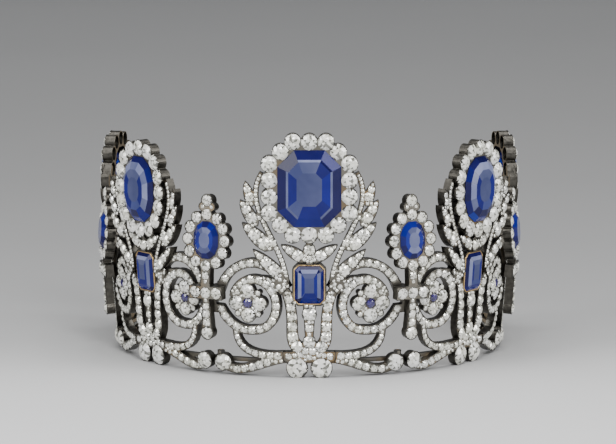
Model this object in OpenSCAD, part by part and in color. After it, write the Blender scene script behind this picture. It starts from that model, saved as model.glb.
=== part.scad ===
// A hinged diadem of five panels, each with a large sapphire in a ring of diamonds,
// and a spire with a smaller sapphire in front of each of the four hinges.
// Millimetres. +Z is up, the front faces -Y, and the origin is the centre of the
// circlet on the surface that it stands on.

/* [Circlet] */
// Radius of the panels' inner face where they stand
band_r = 48; // [46:0.5:50]
// Outward lean of the panels' scrolls in degrees
lean = 4.2; // [3:0.2:6]
// Outward lean of the clusters and laurel branches
top_lean = 1; // [-1:0.2:3]
// Outward lean of the spires over their bars
spire_lean = -3; // [-4:0.2:0]
// Half of the angle that the centre panel spans, in degrees
centre_half_angle = 28.4; // [27.4:0.2:29]
// Half of the angle that each side panel spans, in degrees
side_half_angle = 25; // [24.4:0.2:26]
// Half of the angle of the flat middle of each panel, in degrees
stem_half_angle = 8; // [7.8:0.05:8.2]

/* [Heights] */
// Height of the centre panel
centre_h = 62; // [60:0.5:65]
// Height of the two panels beside the centre
inner_h = 57.7; // [56.5:0.5:61]
// Height of the two panels at the ends
outer_h = 54.4; // [53.5:0.5:57]
// Height of the scrolls
scroll_h = 30.2; // [29.5:0.1:31]
// Height of the middle of the bars that carry the spires
bar_v = 21.2; // [20.8:0.1:21.6]

/* [Metal] */
// Depth of the scrolls and leaves
frame_t = 2; // [1.8:0.1:2.3]
// Depth of the settings of the large clusters
cluster_t = 2.6; // [2.4:0.1:3]
// How far the laurel branches stand in front of the scrolls
branch_lift = 0.6; // [0.5:0.1:0.8]
// How far the large clusters stand in front of the laurel branches' back
cluster_lift = 0.3; // [0.2:0.1:0.6]
// Width of the scroll strands
strand_w = 2.2; // [2:0.1:2.4]
// Width between the middles of the two sides of each stem
stem_w = 8.8; // [8.4:0.1:9.2]
// Metal round each stone
rim = 0.2; // [0.16:0.02:0.24]
// Radius of the solder in the inner corners
solder = 0.2; // [0.15:0.05:0.25]
// Height of the circlet's foot over the surface, where its lowest rims are cut flat
foot_lift = 0.25; // [0.2:0.05:0.3]
// Gap between a stone and its seat
seat_gap = 0.1; // [0.08:0.01:0.14]
// Height of the rail along the back of the foot
rail_h = 1; // [0.8:0.1:1.2]
// Thickness of that rail
rail_t = 0.9; // [0.7:0.1:1]

/* [Sapphires] */
// Width of the centre sapphire
centre_stone_w = 15.4; // [14.8:0.1:15.8]
// Height of the centre sapphire
centre_stone_h = 18.8; // [18.2:0.1:19.2]
// Width of the sapphires beside the centre
inner_stone_w = 12.8; // [12.4:0.1:13.2]
// Height of the sapphires beside the centre
inner_stone_h = 16.6; // [16.2:0.1:17]
// Width of the sapphires at the ends
outer_stone_w = 11.4; // [11:0.1:11.8]
// Height of the sapphires at the ends
outer_stone_h = 14; // [13.6:0.1:14.4]
// Width of the sapphires on the stems
stem_stone_w = 7.3; // [7:0.1:7.5]
// Height of the sapphires on the stems
stem_stone_h = 9.7; // [9.3:0.1:9.9]
// Width of the sapphires of the spires
spire_stone_w = 7; // [6.8:0.1:7.2]
// Height of the sapphires of the spires
spire_stone_h = 9.4; // [9.2:0.1:9.6]
// Diameter of the sapphires in the flowers
flower_stone_d = 2.2; // [2:0.05:2.3]

/* [Diamonds] */
// Diameter of the diamonds round the centre sapphire
centre_halo_d = 3.5; // [3.3:0.05:3.55]
// Diameter of the diamonds round the sapphires beside the centre
inner_halo_d = 3.4; // [3.2:0.05:3.45]
// Diameter of the diamonds round the sapphires at the ends
outer_halo_d = 3.3; // [3.1:0.05:3.4]
// Diameter of the diamonds round the spires' sapphires
spire_halo_d = 2.45; // [2.3:0.05:2.5]
// Diameter of the flowers' petals
petal_d = 3.15; // [3:0.05:3.25]
// Diameter of the pair under each stem
pair_d = 4.7; // [4.4:0.1:4.8]
// Diameter of the diamond at each end of a panel's foot
end_d = 3.8; // [3.5:0.1:3.9]
// Diameter of the diamonds on the spires' bars
bar_d = 2.6; // [2.4:0.05:2.65]
// Diameter of the diamond on the tip of each spire
tip_d = 2.6; // [2.4:0.05:2.8]
// Diameter of the diamond at the foot of each spire's drop
drop_d = 2.9; // [2.7:0.05:3.1]
// Size of the side panels' flowers beside those of the centre panel
side_flower_scale = 0.9; // [0.86:0.01:0.94]

/* [Hinges] */
// Radius of the hinge knuckles
knuckle_r = 0.9; // [0.85:0.05:1]
// Radius of the hinge pins
pin_r = 0.4; // [0.35:0.01:0.45]
// Clearance of a pin in its knuckles
pin_gap = 0.04; // [0.03:0.01:0.08]
// Height of one knuckle
knuckle_h = 1.06; // [1:0.02:1.1]
// Gap between knuckles, and between the ends of two panels and their joint
hinge_gap = 0.1; // [0.1:0.01:0.15]

/* [Hidden] */
$fn = 48;

// The panels, from the centre outwards.
// Columns: name, side, place from the centre, height, sapphire width and height,
// squareness of its outline, count and size of the diamonds round it.
PANELS = [
    ["centre", 0, 0, centre_h, centre_stone_w, centre_stone_h, 0, 18, centre_halo_d],
    ["left_inner", -1, 1, inner_h, inner_stone_w, inner_stone_h, 2.3, 16, inner_halo_d],
    ["right_inner", 1, 1, inner_h, inner_stone_w, inner_stone_h, 2.3, 16, inner_halo_d],
    ["left_outer", -1, 2, outer_h, outer_stone_w, outer_stone_h, 2.6, 14, outer_halo_d],
    ["right_outer", 1, 2, outer_h, outer_stone_w, outer_stone_h, 2.6, 14, outer_halo_d]
];
function name_of(p) = p[0];
function side_of(p) = p[1];
function place_of(p) = p[2];
function height_of(p) = p[3];
function stone_w_of(p) = p[4];
function stone_h_of(p) = p[5];
function squareness_of(p) = p[6];
function halo_count_of(p) = p[7];
function halo_d_of(p) = p[8];
HINGED_PANELS = [for (p = PANELS) if (place_of(p) > 0) p];

// Angles. A panel has a flat middle and two flat wings.
function half_angle(p) = place_of(p) == 0 ? centre_half_angle : side_half_angle;
function panel_angle(p) = place_of(p) == 0 ? 0
    : side_of(p) * (centre_half_angle + (2 * place_of(p) - 1) * side_half_angle);
function wing_half(p) = (half_angle(p) - stem_half_angle) / 2;
function wing_angle(p) = stem_half_angle + wing_half(p);
function joint_angle(p) = panel_angle(p) - side_of(p) * side_half_angle;

// How far soldered pieces reach into each other
overlap = 0.3;

// A wing's width is measured at mid depth, at the height of its ring.
ring_v = 0.61 * scroll_h;
function wing_w(p) = 2 * (band_r + frame_t / 2 + ring_v * sin(lean)) * tan(wing_half(p));
function wing_edge(p, v) = (band_r + v * sin(lean)) * tan(wing_half(p));

// The foot
foot_v = 0.175 * scroll_h;
foot_w = 2.6;
rail_v = 0.12 * scroll_h;
// The stem's rail is slimmer by this, so that its ends lie inside the wings' rails
rail_step = rail_h / 16;
end_v = 0.105 * scroll_h;
end_inset = collet_r(end_d) + 0.25;
pair_v = collet_r(pair_d) - 0.2;
pair_u = collet_r(pair_d) + 0.4;

// The stem
stem_stone_v = 0.79 * scroll_h;
stem_row_v = 0.537 * scroll_h;
stem_foot_v = 0.3 * scroll_h;

// The flower in each ring
flower_u = -0.04;
function flower_scale(p) = place_of(p) == 0 ? 1 : side_flower_scale;
function petal_d_of(p) = petal_d * flower_scale(p);
function eye_d(p) = flower_stone_d * flower_scale(p);
function petal_ring(p) = petal_d_of(p) / 2 + eye_d(p) / 2 + 2 * seat_gap + rim;
flower_rise = 0.3;
flower_bead_r = 0.75;
flower_bead_share = 1.25;

// The clusters and branches stand on a face of their own, which leans less. It is
// bent off the stem's face at the branches' foot.
branch_foot_v = 0.795 * scroll_h;
top_bend = top_lean - lean;
function collet_r(d) = d / 2 + seat_gap + rim;
function ring_a(p) = stone_w_of(p) / 2 + rim + collet_r(halo_d_of(p));
function ring_b(p) = stone_h_of(p) / 2 + rim + collet_r(halo_d_of(p));
function cluster_a(p) = ring_a(p) + collet_r(halo_d_of(p));
function cluster_b(p) = ring_b(p) + collet_r(halo_d_of(p));
function top_v(p) = branch_foot_v + (height_of(p) - foot_lift - branch_foot_v * cos(lean)
    + (branch_lift + cluster_lift + cluster_t) * sin(top_lean)) / cos(top_lean);
function cluster_v(p) = top_v(p) - cluster_b(p);

// The spires, whose backs lie in front of the ends of two panels. Over the bar they
// are bent back.
spire_t = 2.1;
spire_gap = 0.15;
spire_r = band_r / cos(wing_half(PANELS[0])) + frame_t + spire_gap;
function spire_stone_v(p) = bar_v * (place_of(p) == 1 ? 1.615 : 1.465);
spire_a = spire_stone_w / 2 + rim + collet_r(spire_halo_d);
spire_b = spire_stone_h / 2 + rim + collet_r(spire_halo_d);
spire_halo_count = 12;
bar_count = 3;
bar_pitch = bar_d + 2 * seat_gap + rim;
bar_w = bar_count * bar_pitch + rim;
bar_h = 2 * collet_r(bar_d);
spire_bend_rise = 0.4;
spire_bend_v = bar_v + bar_h / 2 + spire_bend_rise;
spire_bend = spire_lean - lean;
drop_foot_v = 0.515 * bar_v;
tip_bead_d = 1.5;
tip_bead_u = 1.25;
tip_bead_rise = 0.4;
function tip_bead_v(p) = spire_stone_v(p) + spire_b + collet_r(spire_halo_d) + tip_bead_rise;
function tip_v(p) = tip_bead_v(p) + collet_r(tip_d) - 0.05;

// The hinges
pin_length = 3 * knuckle_h + 2 * hinge_gap;
joint_gap = 0.35;
arm_t = 0.8;
hinge_set_back = 1.95;
// The nearest corner of two panels at a joint, so that the knuckles clear every rail
joint_r = min([for (p = PANELS) band_r / cos(wing_half(p))]);
hinge_r = joint_r + rail_v * sin(lean) - hinge_set_back;
upper_hinge_z = foot_lift + bar_v * cos(lean);
lower_hinge_z = foot_lift + rail_v * cos(lean);

// Curves
function bezier(c, n) = [for (i = [0:n]) let (t = i / n, s = 1 - t)
    s * s * s * c[0] + 3 * s * s * t * c[1] + 3 * s * t * t * c[2] + t * t * t * c[3]];
function scaled(points, w, h) = [for (q = points) [q[0] * w, q[1] * h]];
function mirrored(points) = [for (q = points) [-q[0], q[1]]];
function unit(q) = q / norm(q);
function along(path, i) = let (n = len(path))
    unit(path[min(i + 1, n - 1)] - path[max(i - 1, 0)]);
function ribbon(path, w0, w1) = let (n = len(path) - 1)
    concat(
        [for (i = [0:n]) let (d = along(path, i), h = (w0 + (w1 - w0) * i / n) / 2)
            path[i] + h * [-d[1], d[0]]],
        [for (i = [n:-1:0]) let (d = along(path, i), h = (w0 + (w1 - w0) * i / n) / 2)
            path[i] - h * [-d[1], d[0]]]
    );

// A closed outline of half axes a and b: an oval, or with squareness 0 a rectangle
// with cut corners, which are a share of its width.
corner_cut = 0.26;
stem_corner_cut = 0.15;
function oval(a, b, squareness, n) = [for (i = [0:n - 1]) let (t = 360 * (i + 0.5) / n)
    [a * sign(cos(t)) * pow(abs(cos(t)), 2 / squareness),
     b * sign(sin(t)) * pow(abs(sin(t)), 2 / squareness)]];
function cut_rectangle(a, b, share) = let (c = 2 * share * min(a, b))
    [[a, b - c], [a - c, b], [c - a, b], [-a, b - c],
     [-a, c - b], [c - a, -b], [a - c, -b], [a, c - b]];
function outline(a, b, squareness) =
    squareness == 0 ? cut_rectangle(a, b, corner_cut) : oval(a, b, squareness, 12);
function stem_outline(margin) = cut_rectangle(
    stem_stone_w / 2 + margin, stem_stone_h / 2 + margin, stem_corner_cut);

// The ring of a cluster's diamonds, spaced evenly along a line round its sapphire.
function lengths(path) = [for (i = 0, s = 0; i < len(path);
    s = s + (i + 1 < len(path) ? norm(path[i + 1] - path[i]) : 0), i = i + 1) s];
function evenly(path, n) = let (
        s = lengths(path),
        total = s[len(path) - 1],
        xs = [for (i = [0:len(path) - 1]) [s[i], path[i][0]]],
        ys = [for (i = [0:len(path) - 1]) [s[i], path[i][1]]]
    ) [for (k = [0:n - 1]) [lookup(total * k / n, xs), lookup(total * k / n, ys)]];
function oval_path(a, b, squareness) = [for (i = [0:120]) let (t = 90 + 3 * i)
    [a * sign(cos(t)) * pow(abs(cos(t)), 2 / squareness),
     b * sign(sin(t)) * pow(abs(sin(t)), 2 / squareness)]];
function cut_path(a, b, c) = [[0, b], [c - a, b], [-a, b - c], [-a, c - b], [c - a, -b],
    [a - c, -b], [a, c - b], [a, b - c], [a - c, b], [0, b]];
function cut_of(p) = corner_cut * stone_w_of(p);
function halo_path(p) = squareness_of(p) == 0
    ? cut_path(ring_a(p), ring_b(p),
        cut_of(p) + (ring_a(p) - stone_w_of(p) / 2) * (2 - sqrt(2)))
    : oval_path(ring_a(p), ring_b(p), squareness_of(p));
function halo(p) = evenly(halo_path(p), halo_count_of(p));
spire_squareness = 2.1;
function spire_path() = oval_path(spire_a, spire_b, spire_squareness);

// The strands of a wing, for a wing to the right, in shares of its width and scroll_h.
// u is 0 in the middle of the wing and grows away from the stem.
RING_MIDDLE = [-0.133, 0.61];
RING_AXES = [0.317, 0.215];
ARCH_AXES = [0.52, 0.354];
JOINER = [[-0.56, 0.73], [-0.47, 0.80], [-0.38, 0.83], [-0.20, 0.826]];
TAIL = [[0.147, 0.40], [0.135, 0.215], [-0.10, 0.165], [-0.53, 0.185]];
SWAG = [[0.35, 0.10], [0.12, -0.015], [-0.15, 0.11], [-0.53, 0.165]];
// The ring is a spiral: its first quarter turn opens towards the joint.
ring_start = -8;
ring_open_end = -88;
ring_end = -345;
ring_opening = 0.55;
function spiral_scale(t) = t < ring_open_end ? 1
    : 1 + ring_opening * pow((t - ring_open_end) / (ring_start - ring_open_end), 1.3);
function ring_share(p) = [for (i = [0:40]) let (
        t = ring_start + (ring_end - ring_start) * i / 40,
        k = spiral_scale(t)
    ) RING_MIDDLE + k * [RING_AXES[0] * cos(t), RING_AXES[1] * sin(t)]];
arch_start = 14;
arch_end = 155;
function arch_share(p) = [for (i = [0:20]) let (t = arch_start + (arch_end - arch_start) * i / 20)
    RING_MIDDLE + [ARCH_AXES[0] * cos(t), ARCH_AXES[1] * sin(t)]];
function post_u(p, v) = wing_edge(p, v) - joint_gap - arm_t / 2;
function to_post(p, path) = concat([[post_u(p, path[0][1]), path[0][1]]], path);

// The strands of a stem, in shares of half its width and scroll_h.
STEM_FOOT = [[0, 0.222], [0.68, 0.222], [0.97, 0.285], [0.97, 0.40]];
STEM_SIDE = [[0.97, 0.40], [0.95, 0.62], [1.16, 0.74], [2, 0.85]];
V_LEAF = [[0.1, 0.985], [1.6, 1.12], 0.6];

// The laurel branches, in shares of the cluster's half width and of its height over
// their foot.
BRANCH = [[0.46, 0], [0.50, 0.42], [1.44, 0.80], [0.98, 1.16]];
// Columns: foot, tip, width
LEAVES = [
    [[0.45, 0.01], [1.17, 0.36], 0.25],
    [[0.77, 0.345], [1.39, 0.64], 0.27],
    [[1.08, 0.60], [1.43, 0.875], 0.23],
    [[1.18, 0.81], [1.33, 1.07], 0.19]
];
branch_w = 1.2;
leaf_steps = 8;
function leaf(foot, tip, w) = let (d = tip - foot, side = unit([-d[1], d[0]]))
    concat(
        [for (i = [0:leaf_steps]) let (t = i / leaf_steps)
            foot + t * d + side * w / 2 * leaf_swell(t)],
        [for (i = [leaf_steps - 1:-1:1]) let (t = i / leaf_steps)
            foot + t * d - side * w / 2 * leaf_swell(t)]
    );
function leaf_swell(t) = pow(sin(180 * pow(t, 0.8)), 0.7) + 0.15 * (1 - t);

// Places children on a panel: x along it, y up its leaning face and z outwards.
module stand(angle, r) {
    rotate([0, 0, angle]) translate([0, -r, foot_lift]) rotate([90 + lean, 0, 0]) children();
}
module on_stem(p) { stand(panel_angle(p), band_r) children(); }
module on_wing(p, side) {
    stand(panel_angle(p) + side * wing_angle(p), band_r) mirror([side < 0 ? 1 : 0, 0, 0])
        children();
}
module bent(v, angle) {
    translate([0, v, 0]) rotate([angle, 0, 0]) translate([0, -v, 0]) children();
}
module on_branches(p) {
    on_stem(p) bent(branch_foot_v, top_bend) translate([0, 0, branch_lift]) children();
}
module on_cluster(p) {
    on_branches(p) translate([0, cluster_v(p), cluster_lift]) children();
}
module on_spire(p) { stand(joint_angle(p), spire_r) children(); }
module on_spire_top(p) { on_spire(p) bent(spire_bend_v, spire_bend) children(); }

// A brilliant cut, girdle at z = 0: a table, a ring of crown facets and a pavilion.
table_share = 0.56;
module brilliant(d, facets = 8) {
    crown = 0.2 * d;
    pavilion = 0.4 * d;
    turn = 360 / facets;
    points = concat(
        [for (i = [0:facets - 1]) table_share * d / 2 * [cos(i * turn), sin(i * turn), 0]
            + [0, 0, crown]],
        [for (i = [0:facets - 1]) d / 2 * [cos(i * turn), sin(i * turn), 0]],
        [[0, 0, -pavilion]]
    );
    faces = concat(
        [[for (i = [facets - 1:-1:0]) i]],
        [for (i = [0:facets - 1]) let (j = (i + 1) % facets)
            [i, j, facets + j, facets + i]],
        [for (i = [0:facets - 1]) let (j = (i + 1) % facets)
            [facets + i, facets + j, 2 * facets]]
    );
    polyhedron(points, faces);
}

// A stone of stepped facets over an outline. Columns: share of the outline, height.
module stepped(shape, depth) {
    n = len(shape);
    steps = [[0.6, 0.3], [0.82, 0.22], [1, 0], [1, -0.06], [0.72, -0.4], [0.3, -0.66]];
    points = [for (s = steps) for (q = shape) [s[0] * q[0], s[0] * q[1], s[1] * depth]];
    faces = concat(
        [[for (i = [n - 1:-1:0]) i]],
        [for (k = [0:len(steps) - 2]) for (i = [0:n - 1]) let (j = (i + 1) % n)
            [k * n + i, k * n + j, (k + 1) * n + j, (k + 1) * n + i]],
        [[for (i = [0:n - 1]) (len(steps) - 1) * n + i]]
    );
    polyhedron(points, faces);
}

// Flat shapes of the settings
collet_fn = 32;
solder_fn = 12;
module soldered() { offset(r = -solder, $fn = solder_fn) offset(delta = solder) children(); }
module collet_disc(q, d) { translate(q) circle(r = collet_r(d), $fn = collet_fn); }
module seat(q, d) { translate(q) circle(r = d / 2 + seat_gap); }
module strand(path, w0, w1) { polygon(ribbon(path, w0, w1)); }
module flat_outline(a, b, squareness) { polygon(outline(a, b, squareness)); }

// Places of the diamonds, as [place, diameter]
function stem_seats(p) = [
    [[pair_u, pair_v], pair_d],
    [[-pair_u, pair_v], pair_d]
];
function wing_seats(p) = concat(
    [[[wing_edge(p, end_v) - end_inset, end_v], end_d]],
    [for (a = [0:90:270])
        [flower_place(p) + petal_ring(p) * [cos(a), sin(a)], petal_d_of(p)]]
);
function flower_place(p) = [flower_u * wing_w(p), ring_v + flower_rise];
function spire_top_seats(p) = concat(
    [for (q = evenly(spire_path(), spire_halo_count))
        [q + [0, spire_stone_v(p)], spire_halo_d]],
    [[[0, tip_v(p)], tip_d]]
);
function bar_seats(p) = concat(
    [for (i = [0:bar_count - 1]) [[(i - (bar_count - 1) / 2) * bar_pitch, bar_v], bar_d]],
    [[[0, drop_foot_v], drop_d]]
);

module stem_shape(p) {
    half = stem_w / 2;
    foot = bezier(scaled(STEM_FOOT, half, scroll_h), 8);
    side = bezier(scaled(STEM_SIDE, half, scroll_h), 10);
    for (mirror_x = [0, 1]) mirror([mirror_x, 0, 0])
        strand(concat(foot, [for (i = [1:10]) side[i]]), 3.3, 2);
    foot_half = band_r * tan(stem_half_angle) + overlap;
    translate([-foot_half, foot_v - foot_w / 2]) square([2 * foot_half, foot_w]);
    translate([0, stem_stone_v]) polygon(stem_outline(seat_gap + 2 * rim));
    // The row below the sapphire
    strand([[0, stem_foot_v], [0, stem_stone_v - stem_stone_h / 2]], 1.8, 3);
    translate([0, stem_foot_v]) circle(r = 1.6);
    translate([0, stem_row_v]) circle(r = 1.8);
    for (s = stem_seats(p)) collet_disc(s[0], s[1]);
}

// What stands in front of the stem: the branches, and the neck and its two leaves
// over the sapphire.
neck_w = 1.6;
neck_collet_r = 1.55;
neck_collet_drop = 1.9;
module branches_shape(p) {
    half = stem_w / 2;
    bottom = cluster_v(p) - cluster_b(p);
    neck_foot = stem_stone_v + stem_stone_h / 2 + seat_gap + rim / 2;
    for (mirror_x = [0, 1]) mirror([mirror_x, 0, 0]) {
        polygon(leaf([V_LEAF[0][0] * half, V_LEAF[0][1] * scroll_h],
            [V_LEAF[1][0] * half, V_LEAF[1][1] * scroll_h], V_LEAF[2] * half));
        branch_shape(p);
    }
    translate([0, bottom - neck_collet_drop]) circle(r = neck_collet_r);
    translate([-neck_w / 2, neck_foot]) square([neck_w, bottom + 0.5 - neck_foot]);
}

module branch_shape(p) {
    w = cluster_a(p);
    h = cluster_v(p) - branch_foot_v;
    translate([0, branch_foot_v]) {
        strand(bezier(scaled(BRANCH, w, h), 14), branch_w, branch_w);
        for (l = LEAVES) polygon(leaf(
            [l[0][0] * w, l[0][1] * h], [l[1][0] * w, l[1][1] * h], l[2] * w));
    }
}

module stem_holes(p) {
    translate([0, stem_stone_v]) polygon(stem_outline(seat_gap));
    for (s = stem_seats(p)) seat(s[0], s[1]);
}

module wing_shape(p) {
    w = wing_w(p);
    ring = scaled(ring_share(p), w, scroll_h);
    arch = scaled(arch_share(p), w, scroll_h);
    strand(to_post(p, ring), strand_w, strand_w);
    strand(to_post(p, arch), strand_w, strand_w);
    strand(bezier(scaled(JOINER, w, scroll_h), 6), 2, 1.8);
    strand(bezier(scaled(TAIL, w, scroll_h), 10), 1.5, strand_w);
    strand(bezier(scaled(SWAG, w, scroll_h), 10), strand_w, strand_w);
    translate(flower_place(p)) {
        circle(r = petal_ring(p));
        for (a = [45:90:315]) rotate(a)
            translate([flower_bead_share * petal_ring(p), 0]) circle(r = flower_bead_r);
    }
    for (s = wing_seats(p)) collet_disc(s[0], s[1]);
    // The post at the joint, behind the spire's bar. It carries the upper hinge.
    post_foot = min(ring[0][1] - strand_w / 2, bar_v - pin_length / 2);
    post_top = max(arch[0][1] + strand_w / 2, bar_v + pin_length / 2);
    translate([post_u(p, post_foot) - arm_t / 2, post_foot])
        square([arm_t, post_top - post_foot]);
}

module wing_holes(p) {
    for (s = wing_seats(p)) seat(s[0], s[1]);
    seat(flower_place(p), eye_d(p));
}

module cluster_shape(p) {
    difference() {
        soldered() {
            polygon(halo_path(p));
            for (q = halo(p)) collet_disc(q, halo_d_of(p));
        }
        for (q = halo(p)) seat(q, halo_d_of(p));
        flat_outline(
            stone_w_of(p) / 2 + seat_gap, stone_h_of(p) / 2 + seat_gap, squareness_of(p));
    }
}

// The rail behind the foot of one wing or of the stem
module rail(from_u, to_u, slimmer = 0) {
    translate([from_u, rail_v - rail_h / 2 + slimmer, slimmer - rail_t])
        cube([to_u - from_u, rail_h - 2 * slimmer, rail_t - slimmer + overlap]);
}

// Knuckles at a joint, in a frame with x along the circlet, y inwards and z up.
// Two outer knuckles, or the one between them.
module knuckles(z, outer, reach) {
    step = knuckle_h + hinge_gap;
    levels = outer ? [-step, step] : [0];
    for (level = levels) translate([0, 0, z + level - knuckle_h / 2])
        linear_extrude(knuckle_h) difference() {
            union() {
                circle(r = knuckle_r);
                translate([joint_gap, -reach]) square([arm_t, reach]);
            }
            circle(r = pin_r + pin_gap);
        }
}

// The two sets of knuckles at an end of a panel. side is where the panel lies.
module hinge_end(angle, side, outer) {
    upper_reach = hinge_set_back + (bar_v - rail_v) * sin(lean) + frame_t / 2;
    lower_reach = hinge_set_back;
    rotate([0, 0, angle]) translate([0, -hinge_r, 0]) mirror([side < 0 ? 1 : 0, 0, 0]) {
        knuckles(upper_hinge_z, outer, upper_reach);
        knuckles(lower_hinge_z, outer, lower_reach);
        // The plate at the end of the rail, which the lower knuckles' arms stand on
        if (outer) translate([joint_gap, -lower_reach, lower_hinge_z - pin_length / 2])
            cube([arm_t, rail_t, pin_length]);
    }
}

module frame(p) {
    inner_side = -side_of(p);
    color("dimgray") difference() {
        union() {
            on_stem(p) linear_extrude(frame_t) difference() {
                soldered() stem_shape(p);
                stem_holes(p);
            }
            on_branches(p) linear_extrude(frame_t) soldered() branches_shape(p);
            on_cluster(p) linear_extrude(cluster_t) cluster_shape(p);
            for (side = [-1, 1]) on_wing(p, side) {
                linear_extrude(frame_t) difference() {
                    soldered() wing_shape(p);
                    wing_holes(p);
                }
                edge = wing_edge(p, rail_v);
                rail(-edge - overlap / 2, edge - joint_gap);
            }
            stem_edge = band_r * tan(stem_half_angle);
            on_stem(p) rail(-stem_edge - overlap, stem_edge + overlap, rail_step);
            if (place_of(p) == 0) {
                hinge_end(centre_half_angle, -1, true);
                hinge_end(-centre_half_angle, 1, true);
            } else {
                hinge_end(joint_angle(p), side_of(p), false);
                if (place_of(p) == 1) hinge_end(
                    panel_angle(p) + side_of(p) * side_half_angle, inner_side, true);
            }
        }
        // The foot is flat where it stands
        translate([-2 * band_r, -2 * band_r, -band_r]) cube([4 * band_r, 4 * band_r, band_r]);
    }
}

module sapphire(p) {
    color("mediumblue") on_cluster(p) translate([0, 0, cluster_t - 0.4])
        stepped(outline(stone_w_of(p) / 2, stone_h_of(p) / 2, squareness_of(p)), 4.4);
}

module stem_sapphire(p) {
    color("mediumblue") on_stem(p) translate([0, stem_stone_v, frame_t - 0.2])
        stepped(stem_outline(0), 3);
}

module flower_sapphires(p) {
    color("indigo") for (side = [-1, 1]) on_wing(p, side)
        translate(concat(flower_place(p), frame_t)) brilliant(eye_d(p));
}

module halo_diamonds(p) {
    color("white") on_cluster(p)
        for (q = halo(p)) translate([q[0], q[1], cluster_t]) brilliant(halo_d_of(p));
}

module panel_diamonds(p) {
    color("white") {
        on_stem(p) for (s = stem_seats(p))
            translate([s[0][0], s[0][1], frame_t]) brilliant(s[1]);
        for (side = [-1, 1]) on_wing(p, side) for (s = wing_seats(p))
            translate([s[0][0], s[0][1], frame_t]) brilliant(s[1]);
    }
}

// The bar with the drop below it, and the stub that carries the spire's upper part
spire_neck_w = 2.6;
module spire_bar_shape(p) {
    difference() {
        soldered() {
            translate([-bar_w / 2, bar_v - bar_h / 2]) square([bar_w, bar_h]);
            strand([[0, bar_v], [0, drop_foot_v]], 1.5, 2 * collet_r(drop_d) - 0.6);
            strand([[0, bar_v], [0, spire_bend_v + overlap]], spire_neck_w, spire_neck_w);
            for (s = bar_seats(p)) collet_disc(s[0], s[1]);
        }
        for (s = bar_seats(p)) seat(s[0], s[1]);
    }
}

// The ring with the neck below it and the tip over it
module spire_top_shape(p) {
    stone_v = spire_stone_v(p);
    difference() {
        soldered() {
            translate([0, stone_v]) polygon(spire_path());
            strand([[0, spire_bend_v - overlap], [0, stone_v - spire_b]],
                spire_neck_w, spire_neck_w);
            strand([[0, stone_v + spire_b], [0, tip_v(p)]], 3, 1.6);
            for (side = [-1, 1])
                collet_disc([side * tip_bead_u, tip_bead_v(p)], tip_bead_d);
            for (s = spire_top_seats(p)) collet_disc(s[0], s[1]);
        }
        translate([0, stone_v])
            flat_outline(spire_stone_w / 2 + seat_gap, spire_stone_h / 2 + seat_gap, 2.3);
        for (s = spire_top_seats(p)) seat(s[0], s[1]);
    }
}

module spire(p) {
    color("dimgray") {
        on_spire(p) linear_extrude(spire_t) spire_bar_shape(p);
        on_spire_top(p) linear_extrude(spire_t) spire_top_shape(p);
    }
}

module spire_sapphire(p) {
    color("mediumblue") on_spire_top(p) translate([0, spire_stone_v(p), spire_t - 0.2])
        stepped(outline(spire_stone_w / 2, spire_stone_h / 2, 2.3), 3);
}

module spire_diamonds(p) {
    color("white") {
        on_spire(p) for (s = bar_seats(p))
            translate([s[0][0], s[0][1], spire_t]) brilliant(s[1]);
        on_spire_top(p) for (s = spire_top_seats(p))
            translate([s[0][0], s[0][1], spire_t]) brilliant(s[1]);
    }
}

module hinge_pins(p) {
    color("goldenrod") rotate([0, 0, joint_angle(p)]) for (z = [upper_hinge_z, lower_hinge_z])
        translate([0, -hinge_r, z - pin_length / 2]) cylinder(r = pin_r, h = pin_length);
}

for (p = PANELS) {
    frame(p);
    sapphire(p);
    stem_sapphire(p);
    flower_sapphires(p);
    halo_diamonds(p);
    panel_diamonds(p);
}
for (p = HINGED_PANELS) {
    spire(p);
    spire_sapphire(p);
    spire_diamonds(p);
    hinge_pins(p);
}
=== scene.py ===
"""The looks of the hinged diadem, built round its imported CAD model.

Lengths are in millimetres on a panel's own face (u along it, v up it, w out of it) and
become metres only where a face is placed in the world.
"""

import math
import random

import bpy
import numpy as np
from mathutils import Matrix, Vector
from mathutils.bvhtree import BVHTree


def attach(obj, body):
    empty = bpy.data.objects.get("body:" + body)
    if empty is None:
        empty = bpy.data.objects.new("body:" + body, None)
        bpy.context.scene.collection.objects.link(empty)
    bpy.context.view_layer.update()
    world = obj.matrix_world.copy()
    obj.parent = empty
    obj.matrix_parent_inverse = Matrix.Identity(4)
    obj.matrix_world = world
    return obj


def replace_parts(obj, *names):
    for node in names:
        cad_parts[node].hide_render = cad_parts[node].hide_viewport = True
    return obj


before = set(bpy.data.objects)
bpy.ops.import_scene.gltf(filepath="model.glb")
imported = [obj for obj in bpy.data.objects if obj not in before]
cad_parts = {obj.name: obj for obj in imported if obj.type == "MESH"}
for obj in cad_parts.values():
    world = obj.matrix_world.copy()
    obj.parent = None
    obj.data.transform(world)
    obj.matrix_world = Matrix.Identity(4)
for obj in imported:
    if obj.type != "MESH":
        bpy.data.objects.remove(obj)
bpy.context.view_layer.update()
MM = 0.001

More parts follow.
